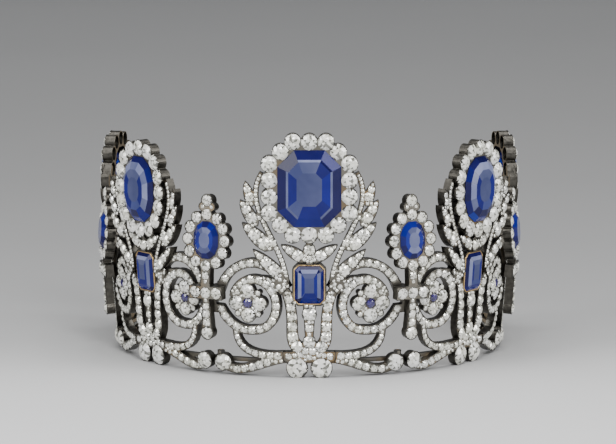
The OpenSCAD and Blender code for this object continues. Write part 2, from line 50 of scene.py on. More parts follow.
# Sizes of the CAD model that the looks follow. Angles are in degrees, and a tuple of three
# holds the values of the centre, inner and outer panels.
BAND_R = 48.0
LEAN = 4.2
TOP_LEAN = 1.0
SPIRE_LEAN = -3.0
CENTRE_HALF = 28.4
SIDE_HALF = 25.0
STEM_HALF = 8.0
SCROLL_H = 30.2
BAR_V = 21.2
FRAME_T = 2.0
CLUSTER_T = 2.6
SPIRE_T = 2.1
BRANCH_LIFT = 0.6
CLUSTER_LIFT = 0.3
SPIRE_GAP = 0.15
FOOT_LIFT = 0.25
STEM_W = 8.8
STRAND_W = 2.2
SEAT_GAP = 0.1
RIM = 0.2
STEM_STONE = (7.3, 9.7)
SPIRE_STONE = (7.0, 9.4)
HEIGHTS = (62.0, 57.7, 54.4)
STONES = ((15.4, 18.8), (12.8, 16.6), (11.4, 14.0))
SQUARENESS = (None, 2.3, 2.6)
HALO_D = (3.5, 3.4, 3.3)
SPIRE_HALO_D = 2.45
BAR_D = 2.6
FLOWER_SCALE = (1.0, 0.9, 0.9)
PETAL_D = 3.15
EYE_D = 2.2
PAIR_D = 4.7

# Heights on a panel's face
RING_V = 0.61 * SCROLL_H
STEM_STONE_V = 0.79 * SCROLL_H
STEM_ROW_V = 0.537 * SCROLL_H
STEM_FOOT_V = 0.3 * SCROLL_H
BRANCH_FOOT_V = 0.795 * SCROLL_H
DROP_FOOT_V = 0.515 * BAR_V
SPIRE_STONE_V = (None, 1.615 * BAR_V, 1.465 * BAR_V)
FLOWER_U = -0.04
FLOWER_RISE = 0.3
FLOWER_BEAD_SHARE = 1.25
NECK_DROP = 1.9
TIP_BEAD = (1.25, 0.4)
SPIRE_BEND_RISE = 0.4

# Side and place from the centre of each panel
PANELS = {
    "centre": (0, 0),
    "left_inner": (-1, 1),
    "right_inner": (1, 1),
    "left_outer": (-1, 2),
    "right_outer": (1, 2),
}
WING_HALF = ((CENTRE_HALF - STEM_HALF) / 2, (SIDE_HALF - STEM_HALF) / 2)
SPIRE_R = BAND_R / math.cos(math.radians(WING_HALF[0])) + FRAME_T + SPIRE_GAP


def wing_half(place):
    return WING_HALF[min(place, 1)]


def panel_angle(side, place):
    return 0 if place == 0 else side * (CENTRE_HALF + (2 * place - 1) * SIDE_HALF)


def joint_angle(side, place):
    return panel_angle(side, place) - side * SIDE_HALF


def wing_w(place):
    r = BAND_R + FRAME_T / 2 + RING_V * math.sin(math.radians(LEAN))
    return 2 * r * math.tan(math.radians(wing_half(place)))


def collet_r(d):
    return d / 2 + SEAT_GAP + RIM


def ring_axes(place):
    """The half axes of the oval that a cluster's ring of stones stands on."""
    return [side / 2 + RIM + collet_r(HALO_D[place]) for side in STONES[place]]


def cluster_bottom(place):
    return cluster_v(place) - ring_axes(place)[1] - collet_r(HALO_D[place])


def cluster_v(place):
    """Height of a cluster's middle on the face of the branches."""
    low, high = math.radians(LEAN), math.radians(TOP_LEAN)
    rise = HEIGHTS[place] - FOOT_LIFT - BRANCH_FOOT_V * math.cos(low)
    rise += (BRANCH_LIFT + CLUSTER_LIFT + CLUSTER_T) * math.sin(high)
    top = BRANCH_FOOT_V + rise / math.cos(high)
    return top - ring_axes(place)[1] - collet_r(HALO_D[place])


# Faces of the panels and spires


def face(angle, r=BAND_R, flip=False):
    """The world place of a leaning face's (u, v, w), in metres."""
    turn = Matrix.Rotation(math.radians(angle), 4, "Z")
    out = Matrix.Translation((0, -r, FOOT_LIFT))
    tilt = Matrix.Rotation(math.radians(90 + LEAN), 4, "X")
    placed = Matrix.Scale(MM, 4) @ turn @ out @ tilt
    return placed @ Matrix.Diagonal((-1, 1, 1, 1)) if flip else placed


def shifted(to_world, u=0.0, v=0.0, w=0.0):
    return to_world @ Matrix.Translation((u, v, w))


def bent(to_world, v, angle):
    """A face that is turned about its line at height v."""
    return shifted(shifted(to_world, v=v) @ Matrix.Rotation(math.radians(angle), 4, "X"), v=-v)


def panel_faces(name):
    """The faces of a panel. A wing's u grows away from the stem."""
    side, place = PANELS[name]
    middle = panel_angle(side, place)
    turn = STEM_HALF + wing_half(place)
    stem = face(middle)
    branches = shifted(bent(stem, BRANCH_FOOT_V, TOP_LEAN - LEAN), w=BRANCH_LIFT)
    return {
        "stem": stem,
        "branches": branches,
        "cluster": shifted(branches, v=cluster_v(place), w=CLUSTER_LIFT),
        1: face(middle + turn),
        -1: face(middle - turn, flip=True),
    }


def spire_faces(name):
    """The lower face of a spire with its bar, and the upper one with its ring."""
    side, place = PANELS[name]
    low = face(joint_angle(side, place), SPIRE_R)
    return low, bent(low, BAR_V + collet_r(BAR_D) + SPIRE_BEND_RISE, SPIRE_LEAN - LEAN)


# Materials


class Look:
    """A material with the few kinds of shader node that the looks use."""

    def __init__(self, name):
        self.material = bpy.data.materials.new(name)
        self.material.use_nodes = True
        self.tree = self.material.node_tree

    def feed(self, socket, value):
        """Links a socket to another node's output, or sets it to a value."""
        if isinstance(value, bpy.types.NodeSocket):
            self.tree.links.new(value, socket)
        else:
            socket.default_value = value

    def node(self, kind, inputs, **settings):
        new = self.tree.nodes.new(kind)
        for key, value in settings.items():
            setattr(new, key, value)
        for key, value in inputs.items():
            self.feed(new.inputs[key], value)
        return new

    def place(self):
        return self.node("ShaderNodeTexCoord", {}).outputs

    def noise(self, scale, detail=4.0, rough=0.55):
        inputs = {"Scale": scale, "Detail": detail, "Roughness": rough}
        inputs["Vector"] = self.place()["Object"]
        return self.node("ShaderNodeTexNoise", inputs).outputs["Fac"]

    def ramp(self, source, stops):
        r = self.node("ShaderNodeValToRGB", {"Fac": source})
        e = r.color_ramp.elements
        for i, (at, colour) in enumerate(stops):
            if i >= len(e):
                e.new(at)
            e[i].position = at
            e[i].color = (*colour, 1)
        return r.outputs["Color"]

    def mixed(self, fac, a, b, blend="MIX"):
        a, b = ((*c, 1) if isinstance(c, tuple) else c for c in (a, b))
        inputs = {"Factor": fac, "A": a, "B": b}
        mix = self.node("ShaderNodeMix", inputs, data_type="RGBA", blend_type=blend)
        return mix.outputs["Result"]

    def bump(self, scale, strength, distance=0.00005):
        inputs = {"Strength": strength, "Distance": distance, "Height": self.noise(scale, 6.0)}
        return self.node("ShaderNodeBump", inputs).outputs["Normal"]

    def vector(self, operation, *inputs):
        inputs = dict(enumerate(inputs))
        return self.node("ShaderNodeVectorMath", inputs, operation=operation).outputs

    def outwardness(self):
        """How far a surface faces away from the circlet's axis: 1 front, 0 side, -1 back."""
        place = self.place()
        flat = self.vector("MULTIPLY", place["Object"], (1, 1, 0))["Vector"]
        unit = self.vector("NORMALIZE", flat)["Vector"]
        return self.vector("DOT_PRODUCT", unit, place["Normal"])["Value"]

    def shaded(self, values):
        """The finished material, with these inputs of its shader."""
        shader = self.tree.nodes["Principled BSDF"]
        for key, value in values.items():
            self.feed(shader.inputs[key], value)
        return self.material


def grey(v):
    return (v, v, v)


def scaled_colour(colour, k):
    return tuple(min(1.0, c * k) for c in colour)


def metal_material(name, front, warm, wall, back):
    """Old silver: worn front plates, walls dark with blackening and painted shade, and a gold-lined
    back.
    """
    look = Look(name)
    out = look.outwardness()
    inward = look.node("ShaderNodeMath", {0: out, 1: -1}, operation="MULTIPLY").outputs[0]
    is_front, is_back = (look.ramp(way, ((0.55, grey(0)), (0.8, grey(1)))) for way in (out, inward))
    fine = look.noise(900, 6.0, 0.6)
    blotch = look.noise(160, 3.0)
    stain = look.ramp(look.noise(70, 3.0), ((0.52, grey(0)), (0.68, grey(0.7))))
    # Side walls with lighter scratches: their dark colour is partly blackened silver and partly
    # painted shade.
    wall_c = look.ramp(fine, ((0.3, wall), (0.75, scaled_colour(wall, 2.4))))
    front_c = look.ramp(blotch, ((0.3, scaled_colour(front, 0.6)), (0.7, front)))
    front_c = look.mixed(stain, front_c, warm)
    back_c = look.ramp(blotch, ((0.3, scaled_colour(back, 0.55)), (0.7, back)))
    colour = look.mixed(is_front, wall_c, front_c)
    return look.shaded({
        "Base Color": look.mixed(is_back, colour, back_c),
        "Roughness": look.ramp(fine, ((0.3, grey(0.28)), (0.75, grey(0.5)))),
        "Metallic": 1.0,
        "Normal": look.bump(2600, 0.25),
    })


def plain_metal(name, low, high, rough=(0.22, 0.42)):
    look = Look(name)
    tex = look.noise(700, 5.0, 0.6)
    return look.shaded({
        "Base Color": look.ramp(tex, ((0.3, low), (0.7, high))),
        "Roughness": look.ramp(tex, ((0.3, grey(rough[1])), (0.7, grey(rough[0])))),
        "Metallic": 1.0,
        "Normal": look.bump(2200, 0.2),
    })


def gem_material(name, ior, stops, tints, transmission, metallic=0.0, rough=0.02, gloss=0.5):
    """A cut stone: each facet's painted light or shade runs over the stops, tinted from place to
    place.
    """
    look = Look(name)
    # Per-facet painted light: bright facets are painted reflections, dark ones painted shade; the
    # tint is the stone's own colour.
    painted_facet_light = look.node("ShaderNodeAttribute", {}, attribute_name="painted_facet_light").outputs["Fac"]
    tint = look.ramp(look.noise(170, 2.0), ((0.35, tints[0]), (0.65, tints[1])))
    return look.shaded({
        "Base Color": look.mixed(1.0, look.ramp(painted_facet_light, stops), tint, "MULTIPLY"),
        "Roughness": rough,
        "IOR": ior,
        "Specular IOR Level": gloss,
        "Metallic": metallic,
        "Transmission Weight": transmission,
    })


# The silver's dark walls are partly blackened silver and partly painted shade.
SILVER = metal_material(
    "aged_silver_and_painted_shade",
    front=(0.22, 0.205, 0.175),
    warm=(0.30, 0.20, 0.095),
    wall=(0.05, 0.047, 0.041),
    back=(0.36, 0.27, 0.15),
)
# Near-black threads on the rims of the plates: painted shade standing in for the shadowed edges of
# the strands.
PAINTED_SHADE_SILVER = plain_metal("silver_thread_painted_shade", (0.03, 0.028, 0.024), (0.12, 0.112, 0.098))
CLAW = plain_metal("bright_silver", (0.32, 0.31, 0.28), (0.66, 0.64, 0.59), (0.15, 0.3))
GOLD = plain_metal("old_gold", (0.42, 0.28, 0.12), (0.72, 0.52, 0.26))
# Clear stones from dark to white facets: painted shade and painted reflections in place of the
# light inside the stone.
CLEAR = (
    (0.0, (0.02, 0.02, 0.018)),
    (0.35, (0.17, 0.17, 0.15)),
    (0.65, (0.66, 0.66, 0.62)),
    (1.0, grey(1.0)),
)
CREAM = ((1.0, 1.0, 0.97), (0.93, 0.92, 0.82))
DIAMOND_IOR = 2.1
SAPPHIRE_IOR = 1.77
DIAMOND = gem_material("diamond", DIAMOND_IOR, CLEAR, CREAM, 0.2)
SMALL_DIAMOND = gem_material("small_diamond", DIAMOND_IOR, CLEAR, CREAM, 0.0, 0.45, 0.05)
# From near black over deep and bright blue to a greyed blue painted table reflection and a pale
# lilac painted highlight
BLUES = (
    (0.0, (0.002, 0.002, 0.018)),
    (0.25, (0.007, 0.007, 0.075)),
    (0.5, (0.005, 0.009, 0.165)),
    (0.7, (0.008, 0.036, 0.32)),
    (0.85, (0.058, 0.068, 0.155)),
    (1.0, (0.25, 0.27, 0.42)),
)
BLUE_TINTS = (grey(1.0), (0.66, 0.7, 0.8))
SAPPHIRE = gem_material("sapphire", SAPPHIRE_IOR, BLUES, BLUE_TINTS, 0.08, gloss=0.08)
# Violet from dark to bright: the hue is the stone's own, and its bright and dark facets are painted
# reflections and painted shade.
VIOLETS = ((0.0, (0.008, 0.004, 0.05)), (0.5, (0.04, 0.025, 0.20)), (1.0, (0.12, 0.09, 0.42)))
VIOLET_TINTS = (grey(1.0), (0.85, 0.8, 0.9))
VIOLET_SAPPHIRE = gem_material("violet_sapphire", SAPPHIRE_IOR, VIOLETS, VIOLET_TINTS, 0.5)

# The painted light of each kind of facet, with its weights: painted reflections and highlights as
# bright facets, painted shade as dark ones.
# A kind may end in the part of the stone that it lies in: top, foot, side or corner, where the
# painted reflections differ.
CLEAR_PAINTED_FACETS = {
    "culet": ((0.1, 0.3), (1, 1)),
    "table": ((0.3, 0.6, 0.85, 1.0), (3, 3, 5, 6)),
    "star": ((0.3, 0.7, 1.0), (3, 3, 7)),
    "kite": ((0.35, 0.75, 1.0), (3, 4, 8)),
    "half": ((0.1, 0.45, 0.8, 1.0), (4, 4, 4, 5)),
    "wall": ((0.05, 0.2), (1, 1)),
    "pavilion": ((0.0, 0.4, 0.9), (1, 1, 1)),
}
# The small stones' facets: painted reflections and painted shade, mostly bright.
SMALL_PAINTED_FACETS = {
    "culet": ((0.3, 0.6), (1, 1)),
    "table": ((0.4, 0.7, 1.0), (2, 5, 6)),
    "star": ((0.45, 0.75, 1.0), (2, 5, 5)),
    "kite": ((0.4, 0.7, 1.0), (2, 5, 6)),
    "half": ((0.15, 0.5, 0.9), (4, 5, 5)),
    "wall": ((0.08,), (1,)),
}
VIOLET_PAINTED_FACETS = {
    "culet": ((0.2,), (1,)),
    "table": ((0.2, 0.5, 0.8), (2, 3, 2)),
    "star": ((0.3, 0.6, 1.0), (2, 3, 1)),
    "kite": ((0.1, 0.4, 0.8), (3, 3, 2)),
    "half": ((0.0, 0.3, 0.6), (3, 3, 2)),
    "wall": ((0.1,), (1,)),
    "pavilion": ((0.0, 0.4), (1, 1)),
}
# The great and stem sapphires: the blue is their own colour; the greyed table and pale edges are
# painted reflection and highlight, the dark steps painted shade, differing by part of the stone.
BLUE_PAINTED_FACETS = {
    "table": ((0.85,), (1,)),
    "pane_top": ((0.87,), (1,)),
    "pane_foot": ((0.4, 0.82), (1, 1)),
    "pane_side": ((0.42, 0.5), (1, 1)),
    "pane_corner": ((0.35, 0.84), (1, 1)),
    "edge_top": ((0.97, 0.9), (3, 1)),
    "edge_foot": ((0.2, 0.5), (1, 1)),
    "edge_side": ((0.9, 0.97), (1, 1)),
    "edge_corner": ((0.15, 0.88), (1, 1)),
    "step_top": ((0.15, 0.25), (1, 1)),
    "step_foot": ((0.5, 0.62), (1, 1)),
    "step_side": ((0.2, 0.35), (1, 1)),
    "step_corner": ((0.12, 0.25, 0.4), (1, 1, 1)),
    "wall": ((0.2,), (1,)),
    "pavilion": ((0.0, 0.3, 0.6), (2, 3, 3)),
}
# The spire's stone: mostly greyed and pale lilac facets, painted reflection and highlight over its
# own blue.
PALE_PAINTED_FACETS = {
    "table": ((0.90,), (1,)),
    "pane": ((0.86, 0.92), (1, 1)),
    "pane_side": ((0.5, 0.55), (1, 1)),
    "step": ((0.25, 0.35, 0.5), (3, 3, 2)),
    "wall": ((0.2,), (1,)),
    "pavilion": ((0.0, 0.3, 0.6), (2, 3, 3)),
}


# Meshes


def new_object(name, data):
    obj = bpy.data.objects.new(name, data)
    bpy.context.scene.collection.objects.link(obj)
    return obj


class Batch:
    """Many copies of small shapes gathered into one mesh, with a value of painted light for each
    face.

    A shape is its points, its faces and the kind of each face.
    """

    def __init__(self, painted_lights=None):
        self.verts = []
        self.faces = []
        self.face_painted_lights = []
        self.count = 0
        self.painted_lights = painted_lights

    def add(self, shape, matrix):
        verts, faces, kinds = shape
        v = np.c_[verts, np.ones(len(verts))] @ np.array(matrix).T[:, :3]
        mirrored = matrix.determinant() < 0
        for f in faces:
            f = f[::-1] if mirrored else f
            self.faces.append(tuple(i + self.count for i in f))
        for kind in kinds:
            self.face_painted_lights.append(self.painted_light_of(kind))
        self.verts.append(v)
        self.count += len(verts)

    def painted_light_of(self, kind):
        if not self.painted_lights:
            return 0.5
        painted_lights = self.painted_lights.get(kind) or self.painted_lights[kind.split("_")[0]]
        return rng.choices(*painted_lights)[0]

    def build(self, name, material, body, smooth=False):
        mesh = bpy.data.meshes.new(name)
        mesh.from_pydata(np.vstack(self.verts).tolist(), [], self.faces)
        mesh.attributes.new("painted_facet_light", "FLOAT", "FACE").data.foreach_set("value", self.face_painted_lights)
        mesh.materials.append(material)
        if smooth:
            mesh.shade_smooth()
        obj = new_object(name, mesh)
        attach(obj, body)
        return obj


def oval(a, b, e, n, z, k=1.0, turn=0.0):
    """n points of an oval of squareness e, at height z."""
    points = []
    for i in range(n):
        t = math.tau * (i + turn) / n
        x, y = math.cos(t), math.sin(t)
        u = k * a * math.copysign(abs(x) ** (2 / e), x)
        v = k * b * math.copysign(abs(y) ** (2 / e), y)
        points.append((u, v, z))
    return points


def circle(n, r, z, turn=0.0):
    return oval(r, r, 2.0, n, z, 1.0, turn)


def cut_rectangle(a, b, c, z):
    points = [(a, b - c), (a - c, b), (c - a, b), (-a, b - c)]
    points += [(-a, c - b), (c - a, -b), (a - c, -b), (a, c - b)]
    return [(x, y, z) for x, y in points]


def crown_facets(faces, kinds):
    """A crown of eight kites over points 0-7 culet, 8-15 table, 16-23 kites, 24-39 girdle."""
    faces.append(tuple(range(8)))
    kinds.append("culet")
    for i in range(8):
        j = (i + 1) % 8
        star, before = 16 + i, 16 + (i - 1) % 8
        g = 24 + 2 * i
        mid, after = g + 1, 24 + (2 * i + 2) % 16
        faces += [(i, 8 + i, 8 + j, j), (8 + i, star, 8 + j), (8 + i, before, g), (8 + i, g, star)]
        kinds += ["table", "star", "kite", "kite"]
        faces += [(star, g, mid), (star, mid, after)]
        kinds += ["half", "half"]
        faces += [(mid, g, g + 16, mid + 16), (after, mid, mid + 16, after + 16)]
        kinds += ["wall", "wall"]


def old_cut(table=0.50, crown=0.17, pavilion=0.42, girdle=0.03, squareness=2.2):
    """An old brilliant cut of width 1, its girdle's top at z = 0."""
    v = oval(0.05, 0.05, 2.0, 8, crown) + oval(table / 2, table / 2, squareness, 8, crown)
    v += oval(0.375, 0.375, squareness, 8, crown * 0.62, 1.0, 0.5)
    v += oval(0.5, 0.5, squareness, 16, 0.0) + oval(0.5, 0.5, squareness, 16, -girdle)
    v += circle(8, 0.17, -girdle - pavilion * 0.72, 0.5) + circle(8, 0.035, -girdle - pavilion)
    faces, kinds = [], []
    crown_facets(faces, kinds)
    for i in range(8):
        j = (i + 1) % 8
        g = 40 + 2 * i
        mid, after = g + 1, 40 + (2 * i + 2) % 16
        low, low_before = 56 + i, 56 + (i - 1) % 8
        tip, tip_next = 64 + i, 64 + j
        faces += [(low, mid, g), (low, after, mid)]
        faces += [(low, g, low_before, tip), (low, tip, tip_next)]
        kinds += ["pavilion"] * 4
    faces.append(tuple(range(71, 63, -1)))
    kinds.append("culet")
    return v, faces, kinds


def cushion_cut(table=0.46, crown=0.19, skirt=0.06, squareness=2.9):
    """The crown of a small cushion cut of width 1 on metal, its foot a little below z = 0."""
    v = oval(0.04, 0.04, 2.0, 8, skirt + crown)
    v += oval(table / 2, table / 2, squareness, 8, skirt + crown)
    v += oval(0.36, 0.36, squareness, 8, skirt + crown * 0.62, 1.0, 0.5)
    v += oval(0.5, 0.5, squareness, 16, skirt) + oval(0.5, 0.5, squareness, 16, -0.1)
    faces, kinds = [], []
    crown_facets(faces, kinds)
    faces.append(tuple(range(55, 39, -1)))
    kinds.append("wall")
    return v, faces, kinds


def ribs(sections, kinds):
    """Rings of equal count joined into a solid, highest first, with the kind of each band."""
    n = len(sections[0])
    v = [p for s in sections for p in s]
    faces, face_kinds = [tuple(range(n))], ["table"]
    for k in range(len(sections) - 1):
        for i in range(n):
            j = (i + 1) % n
            faces.append((k * n + j, k * n + i, (k + 1) * n + i, (k + 1) * n + j))
            face_kinds.append(kinds[k])
    faces.append(tuple((len(sections) - 1) * n + i for i in range(n - 1, -1, -1)))
    face_kinds.append("pavilion")
    return v, faces, face_kinds


def part_of_face(u, v, a, b):
    """The part that a point lies in, of a stone with half axes a and b."""
    across, up = abs(u) / a, abs(v) / b
    if 0.7 * up < across < 1.43 * up:
        return "corner"
    if across > up:
        return "side"
    return "top" if v > 0 else "foot"


def parted(shape, a, b):
    """The shape with the part of the stone added to each facet's kind."""
    v, faces, kinds = shape
    places = [np.mean([v[i][:2] for i in f], axis=0) for f in faces]
    named = [k if k in ("table", "wall", "pavilion") else f"{k}_{part_of_face(*p, a, b)}"
             for k, p in zip(kinds, places)]
    return v, faces, named


# Columns: inset as a share of half the width, height as a share of the crown
GREAT_CROWN = ((0.34, 1.0), (0.27, 0.84), (0.0, 0.0))
STEM_CROWN = ((0.46, 1.0), (0.22, 0.62), (0.0, 0.0))
OVAL_CROWN = ((0.38, 1.0), (0.16, 0.6), (0.0, 0.0))
SPIRE_CROWN = ((0.30, 1.0), (0.0, 0.0))
# Columns: inset, depth as a share of the pavilion
PAVILION = ((0.22, 0.35), (0.46, 0.66), (0.70, 0.88), (0.88, 1.0))
GIRDLE = 0.12
# How much of a cut corner's length each inset takes
CORNER_LOSS = 2 - math.sqrt(2)
# The part of a table inside its ring of panes
PANE = 0.6


def stepped(outline, a, b, crown_steps, crown, pavilion):
    """A step cut. outline(inset, z) gives the points at an inset in millimetres.

    What is seen through the table is painted as reflections on a flat ring of panes round its
    middle.
    """
    table = outline(crown_steps[0][0] * a, crown)
    sections = [[(PANE * u, PANE * v, z) for u, v, z in table]]
    sections += [outline(inset * a, z * crown) for inset, z in crown_steps]
    sections.append(outline(0.0, -GIRDLE))
    sections += [outline(inset * a, -GIRDLE - z * pavilion) for inset, z in PAVILION]
    bands = ["pane"] + ["edge", "step"][1 - len(crown_steps):]
    bands += ["wall"] + ["pavilion"] * len(PAVILION)
    return parted(ribs(sections, bands), a, b)


def step_cut(w, h, cut, crown_steps, crown, pavilion):
    """A step cut with cut corners, its girdle's top at z = 0."""
    a, b = w / 2, h / 2

    def outline(inset, z):
        c = max(cut * w - CORNER_LOSS * inset, 0.04 * a)
        return cut_rectangle(a - inset, b - inset, c, z)

    return stepped(outline, a, b, crown_steps, crown, pavilion)


def oval_cut(w, h, squareness, crown_steps, crown, pavilion, sides=12):
    """A step cut over an oval, its girdle's top at z = 0."""
    a, b = w / 2, h / 2

    def outline(inset, z):
        return oval(a, b, squareness, sides, z, 1 - inset / a, 0.5)

    return stepped(outline, a, b, crown_steps, crown, pavilion)


def bead(r, n=6):
    """A low dome on a face."""
    rings = [circle(n, r * 0.5, r * 0.85), circle(n, r, 0.0), circle(n, r, -r * 0.6)]
    return ribs(rings, ["wall"] * 2)


def tube(points, closed, r, sides=5):
    """A round thread along points that lie level on a face."""
    pts = np.array(points, dtype=float)
    n = len(pts)
    up = np.array((0, 0, 1))
    v, f = [], []
    for i in range(n):
        a = pts[i - 1] if closed or i else pts[i]
        b = pts[(i + 1) % n] if closed or i < n - 1 else pts[i]
        d = (b - a)[:2]
        d /= np.linalg.norm(d) or 1
        side = np.array((-d[1], d[0], 0))
        for k in range(sides):
            t = math.tau * k / sides
            v.append(tuple(pts[i] + r * (math.cos(t) * side + math.sin(t) * up)))
    for i in range(n if closed else n - 1):
        j = (i + 1) % n
        for k in range(sides):
            m = (k + 1) % sides
            f.append((i * sides + m, j * sides + m, j * sides + k, i * sides + k))
    if not closed:
        f.append(tuple(range(sides - 1, -1, -1)))
        f.append(tuple((n - 1) * sides + k for k in range(sides)))
    return v, f, ["wall"] * len(f)


# Reading the CAD meshes


# Points closer than a part of a metre over this are one
WELD = 1e6


def welded(obj):
    """The mesh's points and triangles with equal points joined."""
    mesh = obj.data
    mesh.calc_loop_triangles()
    co = np.empty(len(mesh.vertices) * 3)
    mesh.vertices.foreach_get("co", co)
    co = co.reshape(-1, 3)
    tri = np.empty(len(mesh.loop_triangles) * 3, dtype=int)
    mesh.loop_triangles.foreach_get("vertices", tri)
    keys = np.round(co * WELD).astype(np.int64)
    _, index, back = np.unique(keys, axis=0, return_index=True, return_inverse=True)
    tri = back.reshape(-1)[tri.reshape(-1, 3)]
    whole = (tri[:, 0] != tri[:, 1]) & (tri[:, 1] != tri[:, 2]) & (tri[:, 0] != tri[:, 2])
    return co[index], tri[whole]


def on_face(points, to_world):
    """World points as (u, v, w) on a face."""
    return np.c_[points, np.ones(len(points))] @ np.array(to_world.inverted()).T[:, :3]


def loose_parts(obj):
    """The point sets of a node's separate solids."""
    co, tri = welded(obj)
    parent = list(range(len(co)))

    def root(i):
        while parent[i] != i:
            parent[i] = parent[parent[i]]
            i = parent[i]
        return i

    for a, b, c in tri:
        parent[root(b)] = root(a)
        parent[root(c)] = root(a)
    groups = {}
    for i in range(len(co)):
        groups.setdefault(root(i), []).append(i)
    return [co[g] for g in groups.values()]


def stones_on(node, faces):
    """The round stones of a node, sorted by the face that each lies flat on: (u, v, diameter)."""
    found = {key: [] for key in faces}
    for points in loose_parts(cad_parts[node]):
        q = {key: on_face(points, to_world) for key, to_world in faces.items()}
        key = min(q, key=lambda k: np.ptp(q[k][:, 2]))
        low, high = q[key].min(axis=0), q[key].max(axis=0)
        middle = (low + high) / 2
        found[key].append((float(middle[0]), float(middle[1]), float(high[0] - low[0])))
    return found


# Lines of the strands, in shares of a wing's width or a stem's half width and of SCROLL_H

RING_MIDDLE = (-0.133, 0.61)
RING_AXES = (0.317, 0.215)
RING_TURN = (-8, -88, -345)
RING_OPENING = (0.55, 1.3)
ARCH_AXES = (0.52, 0.354)
ARCH_TURN = (14, 155)
JOINER = ((-0.56, 0.73), (-0.47, 0.80), (-0.38, 0.83), (-0.20, 0.826))
TAIL = ((0.147, 0.40), (0.135, 0.215), (-0.10, 0.165), (-0.53, 0.185))
SWAG = ((0.35, 0.10), (0.12, -0.015), (-0.15, 0.11), (-0.53, 0.165))
STEM_FOOT = ((0, 0.222), (0.68, 0.222), (0.97, 0.285), (0.97, 0.40))
STEM_SIDE = ((0.97, 0.40), (0.95, 0.62), (1.16, 0.74), (2, 0.85))
V_LEAF = ((0.1, 0.985), (1.6, 1.12), 0.6)
# In shares of a cluster's half width and its height over the branches' foot
BRANCH = ((0.46, 0), (0.50, 0.42), (1.44, 0.80), (0.98, 1.16))
# Columns: foot, tip, width
LEAVES = (
    ((0.45, 0.01), (1.17, 0.36), 0.25),
    ((0.77, 0.345), (1.39, 0.64), 0.27),
    ((1.08, 0.60), (1.43, 0.875), 0.23),
    ((1.18, 0.81), (1.33, 1.07), 0.19),
)
# Into how many pieces the curves are cut
RING_PIECES = 60
ARCH_PIECES = 40
CURVE_PIECES = 30

# Largest radii of the small stones, of a row at its start and at its end
STEM_HEAD_R = 1.65
STEM_FOOT_R = 1.45
STEM_ROW_R = (1.25, 0.95)
STEM_SIDE_R = (1.1, 1.6)
PAIR_BEAD_R = 0.75
NECK_R = 1.35
BRANCH_R = 0.56
FLOWER_BEAD_R = 0.66
TAIL_TIP_R = 0.75
JOINER_R = (1.0, 0.9)
DROP_ROW_R = (0.9, 1.2)
BAR_BEAD_R = 0.6
TIP_BEAD_R = 0.75
SPIRE_NECK_R = 1.1
# How far rows keep from the middles of the stones at their ends
HEAD_REACH = 1.7
FOOT_REACH = 1.3
DROP_REACH = 1.6
SPIRE_REACH = 1.3


def bezier(c, n):
    c = [np.array(p, dtype=float) for p in c]
    out = []
    for i in range(n + 1):
        t = i / n
        s = 1 - t
        out.append(s**3 * c[0] + 3 * s * s * t * c[1] + 3 * s * t * t * c[2] + t**3 * c[3])
    return out


def scaled(points, w, h):
    return [(p[0] * w, p[1] * h) for p in points]


def mirrored(points):
    return [(-p[0], p[1]) for p in points]


def ring_line(w):
    start, opened, end = RING_TURN
    out = []
    for i in range(RING_PIECES + 1):
        t = start + (end - start) * i / RING_PIECES
        k = 1.0
        if t > opened:
            k += RING_OPENING[0] * ((t - opened) / (start - opened)) ** RING_OPENING[1]
        a = math.radians(t)
        u = RING_MIDDLE[0] + k * RING_AXES[0] * math.cos(a)
        out.append((w * u, SCROLL_H * (RING_MIDDLE[1] + k * RING_AXES[1] * math.sin(a))))
    return out


def arch_line(w):
    out = []
    first, last = ARCH_TURN
    for i in range(ARCH_PIECES + 1):
        a = math.radians(first + (last - first) * i / ARCH_PIECES)
        u = RING_MIDDLE[0] + ARCH_AXES[0] * math.cos(a)
        out.append((w * u, SCROLL_H * (RING_MIDDLE[1] + ARCH_AXES[1] * math.sin(a))))
    return out


def around(u, v, r, angle):
    """The point at a distance r and an angle from (u, v)."""
    return u + r * math.cos(angle), v + r * math.sin(angle)


# A line of stones is its points and the largest radius at its start and at its end.


def spot(u, v, r):
    """A line for a single stone."""
    return [(u, v), (u, v + 0.05)], r, r


def stem_lines(place):
    half = STEM_W / 2
    foot = bezier(scaled(STEM_FOOT, half, SCROLL_H), 12)
    side = foot[:-1] + bezier(scaled(STEM_SIDE, half, SCROLL_H), 16)
    row = [(0, STEM_ROW_V - HEAD_REACH), (0, STEM_FOOT_V + FOOT_REACH)]
    lines = [spot(0, STEM_ROW_V, STEM_HEAD_R), spot(0, STEM_FOOT_V, STEM_FOOT_R)]
    lines.append((row, *STEM_ROW_R))
    lines.append(spot(0, 2 * collet_r(PAIR_D) - 0.2, PAIR_BEAD_R))
    lines += [(side[::-1], *STEM_SIDE_R), (mirrored(side[::-1]), *STEM_SIDE_R)]
    return lines


def branch_lines(place):
    half = STEM_W / 2
    wide = ring_axes(place)[0] + collet_r(HALO_D[place])
    tall = cluster_v(place) - BRANCH_FOOT_V
    lines = [spot(0, cluster_bottom(place) - NECK_DROP, NECK_R)]
    for turned in (list, mirrored):
        for foot, tip, w in LEAVES:
            leaf = scaled((foot, tip), wide, tall)
            leaf = [(u, v + BRANCH_FOOT_V) for u, v in leaf]
            lines.append((turned(leaf), w * wide / 2, w * wide / 2))
        leaf_r = V_LEAF[2] * half / 2 + 0.1
        lines.append((turned(scaled(V_LEAF[:2], half, SCROLL_H)), leaf_r, leaf_r))
        branch = bezier(scaled(BRANCH, wide, tall), CURVE_PIECES)
        branch = [(u, v + BRANCH_FOOT_V) for u, v in branch]
        lines.append((turned(branch), BRANCH_R, BRANCH_R))
    return lines


